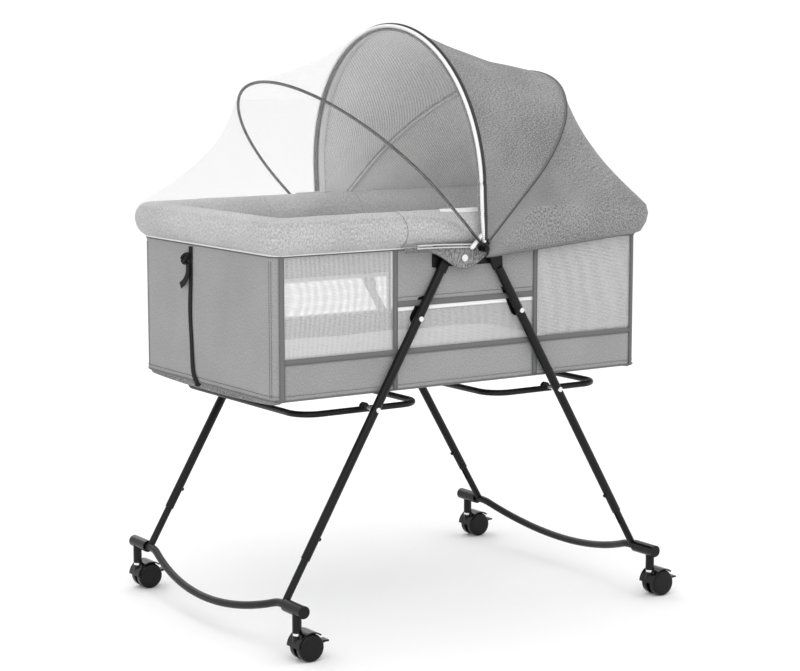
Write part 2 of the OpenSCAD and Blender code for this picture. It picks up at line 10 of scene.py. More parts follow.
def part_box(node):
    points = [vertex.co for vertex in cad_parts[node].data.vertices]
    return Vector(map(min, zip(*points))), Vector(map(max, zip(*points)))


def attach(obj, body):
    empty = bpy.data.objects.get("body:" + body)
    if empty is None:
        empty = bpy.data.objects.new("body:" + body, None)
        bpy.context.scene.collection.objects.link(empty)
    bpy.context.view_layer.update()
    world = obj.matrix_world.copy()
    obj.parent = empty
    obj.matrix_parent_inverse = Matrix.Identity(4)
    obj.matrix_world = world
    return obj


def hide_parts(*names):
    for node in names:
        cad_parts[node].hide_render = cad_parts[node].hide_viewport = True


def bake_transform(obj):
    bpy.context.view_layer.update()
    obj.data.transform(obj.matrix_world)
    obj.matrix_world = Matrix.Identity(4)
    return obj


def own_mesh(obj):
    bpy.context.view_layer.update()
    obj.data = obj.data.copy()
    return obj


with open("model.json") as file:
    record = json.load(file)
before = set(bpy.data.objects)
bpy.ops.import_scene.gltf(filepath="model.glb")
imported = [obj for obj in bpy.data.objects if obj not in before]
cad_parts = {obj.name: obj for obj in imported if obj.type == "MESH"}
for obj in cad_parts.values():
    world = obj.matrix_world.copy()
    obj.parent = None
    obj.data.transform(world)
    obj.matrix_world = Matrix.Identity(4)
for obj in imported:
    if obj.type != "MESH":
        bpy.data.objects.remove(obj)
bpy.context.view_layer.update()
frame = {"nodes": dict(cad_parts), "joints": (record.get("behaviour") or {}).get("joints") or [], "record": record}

# ---------- measures, read from the CAD nodes ----------

RIM_LOW, RIM_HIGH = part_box("rim_cover")
WALL_LOW, WALL_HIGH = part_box("basket_walls")
MATTRESS_LOW, MATTRESS_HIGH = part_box("mattress")
FLOOR_LOW, FLOOR_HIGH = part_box("floor_panel")
PIVOT = next(Vector(j["pos_m"]) for j in frame["joints"] if j["name"] == "canopy_rear_fold")

CORNER = 0.022
RIM_CORNER = 0.045
# The windows of a side wall: lowest x, highest x, lowest z, highest z
WINDOWS = {
    "left": (-0.376, -0.156, 0.497, 0.680),
    "middle": (-0.146, 0.146, 0.497, 0.577),
    "right": (0.156, 0.376, 0.497, 0.680),
}
TAIL_START_X = 0.026
NET_START_X = 0.05
STRAP_WIDTH = 0.0115

# ---------- camera and lamps ----------

# The camera that matches the photo's view
CAMERA_PLACE = (-2.1527, -3.2290, 1.0269)
CAMERA_TARGET = Vector((-0.03139, -0.07383, 0.49841))
CAMERA_LENS_MM = 95.06
CAMERA_SENSOR_MM = 36
# Each lamp's name, place, size in metres and power in watts
LAMPS = (
    ("key", (-1.4, -2.6, 3.6), 2.4, 34),
    ("side", (-2.4, -2.8, 1.2), 2.0, 8),
    ("back", (0.4, 3.0, 2.6), 2.4, 20),
)
LAMP_TARGET = Vector((0, 0, 0.5))


# ---------- materials ----------

def node_material(name):
    """A new material, its node tree and its main shader."""
    made = bpy.data.materials.new(name)
    made.use_nodes = True
    tree = made.node_tree
    return made, tree, tree.nodes["Principled BSDF"]


def add(tree, kind, **values):
    """Adds a node and sets its properties, or its inputs by name."""
    made = tree.nodes.new(kind)
    for key, value in values.items():
        if key.startswith("in_"):
            socket = key[3:]
            made.inputs[int(socket) if socket.isdigit() else socket.replace("_", " ")].default_value = value
        else:
            setattr(made, key, value)
    return made


def sum_of(tree, first, second, share):
    """A mix of two values; share is how much of the second one goes in."""
    made = add(tree, "ShaderNodeMix", data_type="FLOAT", in_0=share)
    tree.links.new(first, made.inputs[2])
    tree.links.new(second, made.inputs[3])
    return made.outputs[0]


def coordinates(tree, scale, source="Object"):
    """Object or UV coordinates, scaled per axis."""
    place = add(tree, "ShaderNodeTexCoord")
    mapping = add(tree, "ShaderNodeMapping", in_Scale=scale)
    tree.links.new(place.outputs[source], mapping.inputs["Vector"])
    return mapping.outputs["Vector"]


def bump(tree, shader, height, strength, distance):
    """Raises the surface by a height map, no further than distance metres."""
    made = add(tree, "ShaderNodeBump", in_Strength=strength, in_Distance=distance)
    tree.links.new(height, made.inputs["Height"])
    tree.links.new(made.outputs["Normal"], shader.inputs["Normal"])


def ramp(tree, value, low, high, start=0.0, end=1.0):
    """Two colours spread over a value."""
    made = add(tree, "ShaderNodeValToRGB")
    first, last = made.color_ramp.elements
    first.position, last.position = start, end
    first.color = (*low, 1)
    last.color = (*high, 1)
    tree.links.new(value, made.inputs["Fac"])
    return made.outputs["Color"]


def grey(level):
    """A neutral colour."""
    return (level, level, level)


def ribs(tree, pitch, slant):
    """Raised ribs across the cloth's length, or at a slant to it."""
    kind, pitch = ("DIAGONAL", pitch / 1.414) if slant else ("X", pitch)
    wave = add(tree, "ShaderNodeTexWave", bands_direction=kind, in_Scale=0.314, in_Distortion=0.3)
    tree.links.new(coordinates(tree, (1 / pitch, -1 / pitch, 1 / pitch), "UV"), wave.inputs["Vector"])
    return wave.outputs["Fac"]


def cloth(name, level, spread=0.16, pitch=0.0011, fleck=0.0019, depth=0.0004, rib=None, slant=False):
    """Woven melange cloth: crossed threads, flecks of two greys, and soft uneven wear.
    rib is the pitch of raised ribs across the cloth's length, if it has them."""
    made, tree, shader = node_material(name)
    threads = coordinates(tree, (1 / pitch, 1 / pitch, 1 / pitch), "UV")
    warp = add(tree, "ShaderNodeTexWave", bands_direction="X", in_Scale=0.314, in_Distortion=0.6)
    weft = add(tree, "ShaderNodeTexWave", bands_direction="Y", in_Scale=0.314, in_Distortion=0.6)
    weave = sum_of(tree, warp.outputs["Fac"], weft.outputs["Fac"], 0.5)
    flecks = add(tree, "ShaderNodeTexNoise", in_Scale=1.0, in_Detail=2.0, in_Roughness=0.6)
    tree.links.new(coordinates(tree, (1 / fleck, 0.6 / fleck, 1 / fleck), "UV"), flecks.inputs["Vector"])
    wear = add(tree, "ShaderNodeTexNoise", in_Scale=9.0, in_Detail=3.0)
    tree.links.new(coordinates(tree, (1, 1, 1)), wear.inputs["Vector"])
    for wave in (warp, weft):
        tree.links.new(threads, wave.inputs["Vector"])
    tone = sum_of(tree, sum_of(tree, flecks.outputs["Fac"], weave, 0.25), wear.outputs["Fac"], 0.18)
    height = weave
    if rib:
        lines = ribs(tree, rib, slant)
        tone = sum_of(tree, tone, lines, 0.16)
        height = sum_of(tree, weave, lines, 0.6)
    colour = ramp(tree, tone, grey(level * (1 - spread)), grey(level * (1 + spread)), 0.46, 0.54)
    tree.links.new(colour, shader.inputs["Base Color"])
    shader.inputs["Roughness"].default_value = 0.92
    shader.inputs["Sheen Weight"].default_value = 0.12
    shader.inputs["Specular IOR Level"].default_value = 0.15
    bump(tree, shader, height, 0.5, depth)
    return made


def netting(name, level, pitch, thread, base):
    """Knitted mesh: threads across and along the cloth with open holes between them.
    thread is the threads' share of the pitch, and base how far the holes are filled."""
    made, tree, shader = node_material(name)
    holes = []
    for axis, weight in (("X", 1.0), ("Y", 0.6)):
        wave = add(tree, "ShaderNodeTexWave", bands_direction=axis, wave_profile="TRI", in_Scale=0.314,
                   in_Distortion=0.25, in_Detail=1.0)
        tree.links.new(coordinates(tree, (1 / pitch, 1 / pitch, 1 / pitch), "UV"), wave.inputs["Vector"])
        edge = add(tree, "ShaderNodeMapRange", in_1=1 - thread, in_2=1 - thread * 0.6, in_4=weight)
        tree.links.new(wave.outputs["Fac"], edge.inputs[0])
        holes.append(edge.outputs[0])
    both = add(tree, "ShaderNodeMath", operation="MAXIMUM")
    tree.links.new(holes[0], both.inputs[0])
    tree.links.new(holes[1], both.inputs[1])
    cover = add(tree, "ShaderNodeMapRange", in_3=base, in_4=1.0)
    tree.links.new(both.outputs[0], cover.inputs[0])
    shader.inputs["Base Color"].default_value = (*grey(level), 1)
    shader.inputs["Roughness"].default_value = 0.85
    shader.inputs["Specular IOR Level"].default_value = 0.1
    tree.links.new(cover.outputs[0], shader.inputs["Alpha"])
    bump(tree, shader, both.outputs[0], 0.4, 0.0004)
    return made


def painted_steel(name, level, roughness):
    """Powder-coated tube: fine orange peel, with faint rubbing."""
    made, tree, shader = node_material(name)
    peel = add(tree, "ShaderNodeTexNoise", in_Scale=900.0, in_Detail=1.0)
    rub = add(tree, "ShaderNodeTexNoise", in_Scale=24.0, in_Detail=4.0)
    for texture in (peel, rub):
        tree.links.new(coordinates(tree, (1, 1, 1)), texture.inputs["Vector"])
    shade = ramp(tree, rub.outputs["Fac"], grey(roughness * 0.85), grey(roughness * 1.15), 0.35, 0.65)
    tree.links.new(shade, shader.inputs["Roughness"])
    colour = ramp(tree, rub.outputs["Fac"], grey(level * 0.8), grey(level * 1.3), 0.4, 0.7)
    tree.links.new(colour, shader.inputs["Base Color"])
    shader.inputs["Specular IOR Level"].default_value = 0.24
    bump(tree, shader, peel.outputs["Fac"], 0.12, 0.0002)
    return made


def plated_steel(name):
    """Bright plate with fine brushing."""
    made, tree, shader = node_material(name)
    brush = add(tree, "ShaderNodeTexNoise", in_Scale=300.0, in_Detail=3.0)
    tree.links.new(coordinates(tree, (1, 1, 8)), brush.inputs["Vector"])
    shade = ramp(tree, brush.outputs["Fac"], grey(0.16), grey(0.3), 0.3, 0.7)
    tree.links.new(shade, shader.inputs["Roughness"])
    shader.inputs["Base Color"].default_value = (*grey(0.82), 1)
    shader.inputs["Metallic"].default_value = 1.0
    bump(tree, shader, brush.outputs["Fac"], 0.05, 0.0001)
    return made


def tape(name, level, pitch=0.0016, roughness=0.8):
    """Narrow woven tape or webbing with a twill line across it."""
    made, tree, shader = node_material(name)
    twill = add(tree, "ShaderNodeTexWave", bands_direction="DIAGONAL", in_Scale=0.314, in_Distortion=0.4)
    tree.links.new(coordinates(tree, (1 / pitch, 1 / pitch, 1 / pitch)), twill.inputs["Vector"])
    colour = ramp(tree, twill.outputs["Fac"], grey(level * 0.8), grey(level * 1.15))
    tree.links.new(colour, shader.inputs["Base Color"])
    shader.inputs["Roughness"].default_value = roughness
    shader.inputs["Specular IOR Level"].default_value = 0.2
    bump(tree, shader, twill.outputs["Fac"], 0.5, 0.0003)
    return made


STEEL = painted_steel("black powder coat", 0.004, 0.36)
PLASTIC = painted_steel("glossy black plastic", 0.003, 0.18)
PLATE = plated_steel("bright plate")
RIM_CLOTH = cloth("rim cloth", 0.44, spread=0.24, fleck=0.0026)
WALL_CLOTH = cloth("wall cloth", 0.21, spread=0.6, fleck=0.0024)
WALL_LINING = cloth("wall lining", 0.30, spread=0.15)
CANOPY_CLOTH = cloth("canopy cloth", 0.235, spread=0.45, fleck=0.0022)
CANOPY_LINING = cloth("ribbed canopy lining", 0.78, spread=0.26, rib=0.0046, depth=0.0008, slant=True)
TAIL_LINING = cloth("ribbed tail lining", 0.58, spread=0.26, rib=0.0046, depth=0.0008)
QUILT_CLOTH = cloth("mattress cloth", 0.62, spread=0.07)
WINDOW_MESH = netting("window mesh", 0.86, 0.0025, 0.27, 0.03)
NET = netting("sheer netting", 0.90, 0.0016, 0.055, 0.014)
BINDING = tape("grey binding tape", 0.15)
DARK_BINDING = tape("dark binding tape", 0.05)
WHITE_TAPE = tape("white piping", 0.82)
PALE_TAPE = tape("pale piping", 0.6)
WEBBING = tape("black webbing", 0.012)
THREAD = tape("dark thread", 0.13, 0.001)


# ---------- mesh building ----------

def new_piece(name, points, faces, materials, uvs=None, face_materials=None):
    """A mesh object from points and faces; uvs has one pair per point, in metres on the flat cloth."""
    mesh = bpy.data.meshes.new(name)
    mesh.from_pydata([tuple(p) for p in points], [], faces)
    for material in materials:
        mesh.materials.append(material)
    if face_materials is not None:
        mesh.polygons.foreach_set("material_index", face_materials)
    mesh.polygons.foreach_set("use_smooth", [True] * len(mesh.polygons))
    layer = mesh.uv_layers.new(name="flat")
    if uvs is None:
        uvs = [(p[0] + p[1], p[2]) for p in points]
    corners = np.zeros(len(mesh.loops), int)
    mesh.loops.foreach_get("vertex_index", corners)
    layer.data.foreach_set("uv", np.asarray(uvs, float)[corners].ravel())
    mesh.validate()
    mesh.update()
    made = bpy.data.objects.new(name, mesh)
    bpy.context.scene.collection.objects.link(made)
    return made


def grid_normals(grid):
    """Unit normals of a grid of points."""
    normal = np.cross(np.gradient(grid, axis=0), np.gradient(grid, axis=1))
    return normal / np.maximum(np.linalg.norm(normal, axis=2, keepdims=True), 1e-9)


def flat_lengths(grid):
    """Length along the rows and along the columns at each point, in metres."""
    along = np.linalg.norm(np.diff(grid, axis=1), axis=2).mean(axis=0)
    down = np.linalg.norm(np.diff(grid, axis=0), axis=2).mean(axis=1)
    u = np.concatenate([[0], np.cumsum(along)])
    v = np.concatenate([[0], np.cumsum(down)])
    return np.stack(np.meshgrid(u, v), axis=2)


def cloth_sheet(name, grid, thick, materials):
    """A closed sheet of even thickness over a grid of points. The second material, if any, is the
    lining on the side that the grid's normals point away from."""
    grid = np.asarray(grid, float)
    rows, cols = grid.shape[:2]
    count = rows * cols
    normal = grid_normals(grid) * thick / 2
    points = np.concatenate([(grid + normal).reshape(-1, 3), (grid - normal).reshape(-1, 3)])
    uvs = np.tile(flat_lengths(grid).reshape(-1, 2), (2, 1))
    index = np.arange(count).reshape(rows, cols)
    a, b = index[:-1, :-1].ravel(), index[:-1, 1:].ravel()
    c, d = index[1:, 1:].ravel(), index[1:, :-1].ravel()
    outer = np.stack([a, d, c, b], axis=1)
    inner = np.stack([a, b, c, d], axis=1) + count
    around = np.concatenate([index[0, :-1], index[:-1, -1], index[-1, :0:-1], index[:0:-1, 0]])
    after = np.roll(around, -1)
    hem = np.stack([around, after, after + count, around + count], axis=1)
    faces = np.concatenate([outer, inner, hem])
    which = np.zeros(len(faces), int)
    if len(materials) > 1:
        which[len(outer):len(outer) + len(inner)] = 1
    return new_piece(name, points, faces.tolist(), materials, uvs, which)


def tube(name, path, radius, material, sides=10, ring=False, flat=1.0, up=(0, 0, 1)):
    """A tube along a path, with rounded ends. flat squeezes it along the up direction."""
    path = np.asarray(path, float)
    if ring:
        step = np.roll(path, -1, axis=0) - np.roll(path, 1, axis=0)
    else:
        step = np.gradient(path, axis=0)
    step /= np.maximum(np.linalg.norm(step, axis=1, keepdims=True), 1e-9)
    side = np.cross(step, np.asarray(up, float))
    weak = np.linalg.norm(side, axis=1) < 0.05
    side[weak] = np.cross(step[weak], (0.3, 1, 0.1))
    side /= np.linalg.norm(side, axis=1, keepdims=True)
    over = np.cross(side, step)
    angle = np.linspace(0, 2 * math.pi, sides, endpoint=False)
    cosines, sines = np.cos(angle)[None, :, None], np.sin(angle)[None, :, None]
    circle = cosines * side[:, None] + sines * over[:, None] * flat
    size = np.ones(len(path))
    if not ring:
        cap = step * radius * 0.6
        path = np.concatenate([path[:1] - cap[:1], path, path[-1:] + cap[-1:]])
        circle = np.concatenate([circle[:1], circle, circle[-1:]])
        size = np.concatenate([[0.45], size, [0.45]])
    points = path[:, None] + circle * radius * size[:, None, None]
    rows = len(path)
    index = np.arange(rows * sides).reshape(rows, sides)
    last = rows if ring else rows - 1
    faces = []
    for i in range(last):
        here, there = index[i], index[(i + 1) % rows]
        for j in range(sides):
            k = (j + 1) % sides
            faces.append([here[j], here[k], there[k], there[j]])
    if not ring:
        faces.append(index[0][::-1].tolist())
        faces.append(index[-1].tolist())
    faces = [[int(v) for v in f] for f in faces]
    flat_points = points.reshape(-1, 3)
    run = np.concatenate([[0], np.cumsum(np.linalg.norm(np.diff(path, axis=0), axis=1))])
    uvs = np.stack([np.repeat(run, sides), np.tile(angle * radius, rows)], axis=1)
    return new_piece(name, flat_points, faces, [material], uvs)


def ribbon(name, path, normals, width, thick, material, pillow=0.0):
    """A flat band along a path, lying square to its normals; pillow rounds its face outwards."""
    path, normals = np.asarray(path, float), np.asarray(normals, float)
    step = np.gradient(path, axis=0)
    side = np.cross(step, normals)
    side /= np.maximum(np.linalg.norm(side, axis=1, keepdims=True), 1e-9)
    across = np.linspace(-0.5, 0.5, 7)
    grid = [path + side * width * t + normals * pillow * (1 - (2 * t) ** 2) for t in across]
    return cloth_sheet(name, np.asarray(grid), thick, [material])


def webbing(name, path, normals):
    """A length of strap webbing, as a narrow sheet."""
    path = np.asarray(path, float)
    band = ribbon(name, path, normals, STRAP_WIDTH, 0.0014, WEBBING)
    return band


def stitches(name, path, normals, material, pitch=0.0042, length=0.0027, radius=0.00045):
    """Short raised stitches laid along a path."""
    path, normals = np.asarray(path, float), np.asarray(normals, float)
    run = np.concatenate([[0], np.cumsum(np.linalg.norm(np.diff(path, axis=0), axis=1))])
    places = np.arange(pitch / 2, run[-1], pitch)
    middle = np.stack([np.interp(places, run, path[:, k]) for k in range(3)], axis=1)
    normal = np.stack([np.interp(places, run, normals[:, k]) for k in range(3)], axis=1)
    step = np.gradient(middle, axis=0)
    step /= np.maximum(np.linalg.norm(step, axis=1, keepdims=True), 1e-9)
    side = np.cross(step, normal)
    points, faces = [], []
    for m, n, t, s in zip(middle, normal, step, side):
        base = len(points)
        for end in (-1, 1):
            for turn in range(6):
                a = turn * math.pi / 3
                points.append(m + t * end * length / 2 + (s * math.cos(a) + n * math.sin(a)) * radius)
        faces += [[base + i, base + (i + 1) % 6, base + 6 + (i + 1) % 6, base + 6 + i] for i in range(6)]
        faces += [[base + i for i in range(5, -1, -1)], [base + 6 + i for i in range(6)]]
    return new_piece(name, points, faces, [material])


def smooth_line(points, count, ring=False):
    """A smooth line through a few points, at even steps of length."""
    points = [Vector(p) for p in points]
    if ring:
        points = [points[-1], *points, points[0], points[1]]
    else:
        points = [points[0] * 2 - points[1], *points, points[-1] * 2 - points[-2]]
    line = []
    for a, b, c, d in zip(points, points[1:], points[2:], points[3:]):
        for k in range(24):
            t = k / 24
            line.append(((b * 2) + (c - a) * t + (a * 2 - b * 5 + c * 4 - d) * t * t
                         + (b * 3 - a - c * 3 + d) * t ** 3) / 2)
    line.append(points[-2])
    line = np.asarray([tuple(p) for p in line])
    run = np.concatenate([[0], np.cumsum(np.linalg.norm(np.diff(line, axis=0), axis=1))])
    at = np.linspace(0, run[-1], count, endpoint=not ring)
    return np.stack([np.interp(at, run, line[:, k]) for k in range(line.shape[1])], axis=1)


def wrinkle(point, size, seed):
    """Soft noise from -1 to 1 at a point, with folds of the given size."""
    return noise.noise(Vector(point) / size + Vector((seed * 7.3, seed * 3.1, seed * 1.7)))


# ---------- outlines ----------

def outline(half_x, half_y, radius, per_side=40, per_corner=8):
    """A rounded rectangle seen from above, as a ring of points with their outward normals."""
    points, normals = [], []
    sides = (((1, 0), 270), ((0, 1), 0), ((-1, 0), 90), ((0, -1), 180))
    start = Vector((-half_x + radius, -half_y))
    for (dx, dy), turn in sides:
        length = 2 * (half_x - radius) if dx else 2 * (half_y - radius)
        count = per_side if dx else per_side * 2 // 3
        out = (dy, -dx)
        for k in range(count):
            points.append(start + Vector((dx, dy)) * length * k / count)
            normals.append(out)
        start = start + Vector((dx, dy)) * length
        centre = start - Vector(out) * radius
        for k in range(per_corner):
            a = math.radians(turn + 90 * k / per_corner)
            points.append(centre + Vector((math.cos(a), math.sin(a))) * radius)
            normals.append((math.cos(a), math.sin(a)))
        a = math.radians(turn + 90)
        start = centre + Vector((math.cos(a), math.sin(a))) * radius
    return np.asarray([tuple(p) for p in points]), np.asarray(normals)


# ---------- cloth simulation ----------

def puff(piece, voxel, pressure, most):
    """Inflates a padded piece a little with a cloth simulation, and caps how far it moves."""
    modifier = piece.modifiers.new("even mesh", "REMESH")
    modifier.mode = "VOXEL"
    modifier.voxel_size = voxel
    apply_modifiers(piece)
    before = vertices(piece)
    cloth_modifier = piece.modifiers.new("cloth", "CLOTH")
    settings = cloth_modifier.settings
    settings.quality = 5
    settings.mass = 0.2
    settings.tension_stiffness = 25
    settings.compression_stiffness = 25
    settings.shear_stiffness = 10
    settings.bending_stiffness = 0.4
    settings.use_pressure = True
    settings.uniform_pressure_force = pressure
    settings.effector_weights.gravity = 0
    scene = bpy.context.scene
    for step in range(1, 21):
        scene.frame_set(step)
    apply_modifiers(piece)
    scene.frame_set(1)
    after = vertices(piece)
    move = after - before
    far = np.maximum(np.linalg.norm(move, axis=1, keepdims=True), 1e-9)
    set_vertices(piece, before + move * np.minimum(1, most / far))


def vertices(piece):
    """The places of a piece's vertices, one row each."""
    flat = np.zeros(len(piece.data.vertices) * 3)
    piece.data.vertices.foreach_get("co", flat)
    return flat.reshape(-1, 3)


def set_vertices(piece, points):
    """Moves a piece's vertices to the points."""
    piece.data.vertices.foreach_set("co", np.asarray(points, float).ravel())
    piece.data.update()


def apply_modifiers(piece):
    """Bakes a piece's modifiers into its mesh."""
    graph = bpy.context.evaluated_depsgraph_get()
    graph.update()
    mesh = bpy.data.meshes.new_from_object(piece.evaluated_get(graph), depsgraph=graph)
    old = piece.data
    piece.modifiers.clear()
    piece.data = mesh
    bpy.data.meshes.remove(old)
    piece.data.polygons.foreach_set("use_smooth", [True] * len(piece.data.polygons))


def box_uvs(piece):
    """UVs in metres from the side that each face looks to, for a piece that was remeshed."""
    mesh = piece.data
    layer = mesh.uv_layers.get("flat") or mesh.uv_layers.new(name="flat")
    for face in mesh.polygons:
        n = [abs(c) for c in face.normal]
        a, b = ((1, 2), (0, 2), (0, 1))[n.index(max(n))]
        for loop in face.loop_indices:
            co = mesh.vertices[mesh.loops[loop].vertex_index].co
            layer.data[loop].uv = (co[a], co[b])


# ---------- rim ----------

def rim_profile():
    """The roll's section: distance in from the outer edge, and height above its underside."""
    deep = RIM_HIGH.z - RIM_LOW.z
    knots = [(0.0235, 0.0), (0.0125, 0.0055), (0.0035, 0.019), (0.0, 0.034), (0.0035, 0.048),
             (0.0135, 0.0585), (0.028, 0.062), (0.043, 0.0605), (0.0565, 0.052), (0.0635, 0.037),
             (0.0625, 0.021), (0.054, 0.0085), (0.040, 0.002)]
    return [(e, z / 0.062 * deep) for e, z in smooth_line([(e, z, 0) for e, z in knots], 34, True)[:, :2]]


def rim_grid():
    """Rings of points over the roll, one for each place on its section."""
    grid = []
    for e, z in rim_profile():
        ring, normals = outline(RIM_HIGH.x - e, RIM_HIGH.y - e, max(RIM_CORNER - e, 0.010), 56, 10)
        row = []
        for (x, y), (nx, ny) in zip(ring, normals):
            fold = wrinkle((x * 1.0, y * 1.0, z * 0.35), 0.045, 1) * 0.0011
            fold += wrinkle((x, y, z * 0.2), 0.016, 2) * 0.0005
            row.append((x + nx * (fold - 0.0006), y + ny * (fold - 0.0006), RIM_LOW.z + z + fold * 0.8))
        grid.append(row)
    return np.asarray(grid)


def ring_mesh(name, grid, materials):
    """A closed ring of cloth from a grid that joins up both ways."""
    rows, cols = grid.shape[:2]
    index = np.arange(rows * cols).reshape(rows, cols)
    below = np.roll(index, -1, axis=0)
    faces = np.stack([index, np.roll(index, -1, 1), np.roll(below, -1, 1), below], axis=2).reshape(-1, 4)
    uvs = flat_lengths(grid).reshape(-1, 2)
    return new_piece(name, grid.reshape(-1, 3), faces.tolist(), materials, uvs)


def build_rim():
    """The padded roll, its piping with a painted shadow under it, and the seams across its cover."""
    roll = ring_mesh("rim_roll", rim_grid(), [RIM_CLOTH])
    puff(roll, 0.006, 3.0, 0.0022)
    box_uvs(roll)
    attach(roll, "basket")
    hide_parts("rim_cover")
    # Piping where the roll meets the wall
    ring, normals = outline(RIM_HIGH.x - 0.0205, RIM_HIGH.y - 0.0235, 0.026, 60, 8)
    line = np.c_[ring, np.full(len(ring), RIM_LOW.z + 0.0005)]
    piping = tube("rim_piping", line, 0.0017, WHITE_TAPE, ring=True)
    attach(piping, "basket")
    # A thin dark tube just under the piping is painted shadow: the shade that the piping casts on the wall, drawn
    # as a dark line.
    below = np.c_[normals * 0.0006, np.full(len(ring), -0.0026)]
    shadow = tube("rim_seam_and_painted_shadow", line + below, 0.0012, THREAD, ring=True)
    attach(shadow, "basket")
    # Cover seams across the roll
    for name, x, side in (("front", -0.145, -1), ("back_left", -0.145, 1), ("front_right", 0.06, -1),
                          ("back_right", 0.06, 1)):
        profile = rim_profile()[1:26]
        line = [(x + 0.004 * math.sin(4 * z / 0.062), side * (RIM_HIGH.y - e + 0.0004), RIM_LOW.z + z)
                for e, z in profile]
        out = np.asarray([(0, side * (0.032 - e), z - 0.031) for e, z in profile])
        out = out / np.linalg.norm(out, axis=1, keepdims=True)
        line = np.asarray(line) + out * 0.0006
        seam = stitches(f"rim_seam_and_painted_shadow_{name}", line, out, THREAD, 0.004, 0.0027, 0.0005)
        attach(seam, "basket")


# ---------- basket ----------

def band_points(u0, u1, z0, z1, rows, cols, seed, bulge=0.0015):
    """Points of a wall panel; u runs round the basket from the middle of the front wall."""
    grid = []
    for i in range(rows + 1):
        row = []
        for j in range(cols + 1):
            u, v = u0 + (u1 - u0) * j / cols, i / rows
            z = z0 + (z1 - z0) * v
            (x, y), (nx, ny) = wall_place(u)
            edge = math.sin(math.pi * v) * min(1, 6 * j / cols, 6 * (cols - j) / cols)
            out = edge * (bulge + wrinkle((u, z, 0), 0.08, seed) * 0.0018)
            out += wrinkle((u, z, 0), 0.03, seed) * 0.0004
            row.append((x + nx * out, y + ny * out, z))
        grid.append(row)
    return grid


def wall_place(u):
    """A point on the wall's outline and its outward normal, u metres round from the front's middle."""
    x_end, y_end, r = WALL_HIGH.x, WALL_HIGH.y, CORNER
    long, short, arc = 2 * (x_end - r), 2 * (y_end - r), math.pi * r / 2
    u = (u + long / 2) % (2 * (long + short + 2 * arc))
    place, heading = Vector((-x_end + r, -y_end)), 0
    for length in (long, arc, short, arc, long, arc, short, arc):
        bend = length == arc
        a = math.radians(heading)
        ahead, out = Vector((math.cos(a), math.sin(a))), Vector((math.sin(a), -math.cos(a)))
        if u <= length:
            if not bend:
                return tuple(place + ahead * u), tuple(out)
            turn = u / r
            centre = place - out * r
            spun = Vector((math.sin(a + turn), -math.cos(a + turn)))
            return tuple(centre + spun * r), tuple(spun)
        u -= length
        if bend:
            centre = place - out * r
            heading += 90
            a = math.radians(heading)
            place = centre + Vector((math.sin(a), -math.cos(a))) * r
        else:
            place = place + ahead * length
    return tuple(place), tuple(out)


def wall_half_turn():
    """Half the length of the walls' outline."""
    return 2 * (WALL_HIGH.x - CORNER) + 2 * (WALL_HIGH.y - CORNER) + math.pi * CORNER


def wall_line(u0, u1, z0, z1, count, out=0.0):
    """A line on the walls with its normals, for bindings and stitches."""
    line, normals = [], []
    for k in range(count + 1):
        t = k / count
        (x, y), (nx, ny) = wall_place(u0 + (u1 - u0) * t)
        line.append((x + nx * out, y + ny * out, z0 + (z1 - z0) * t))
        normals.append((nx, ny, 0))
    return line, normals


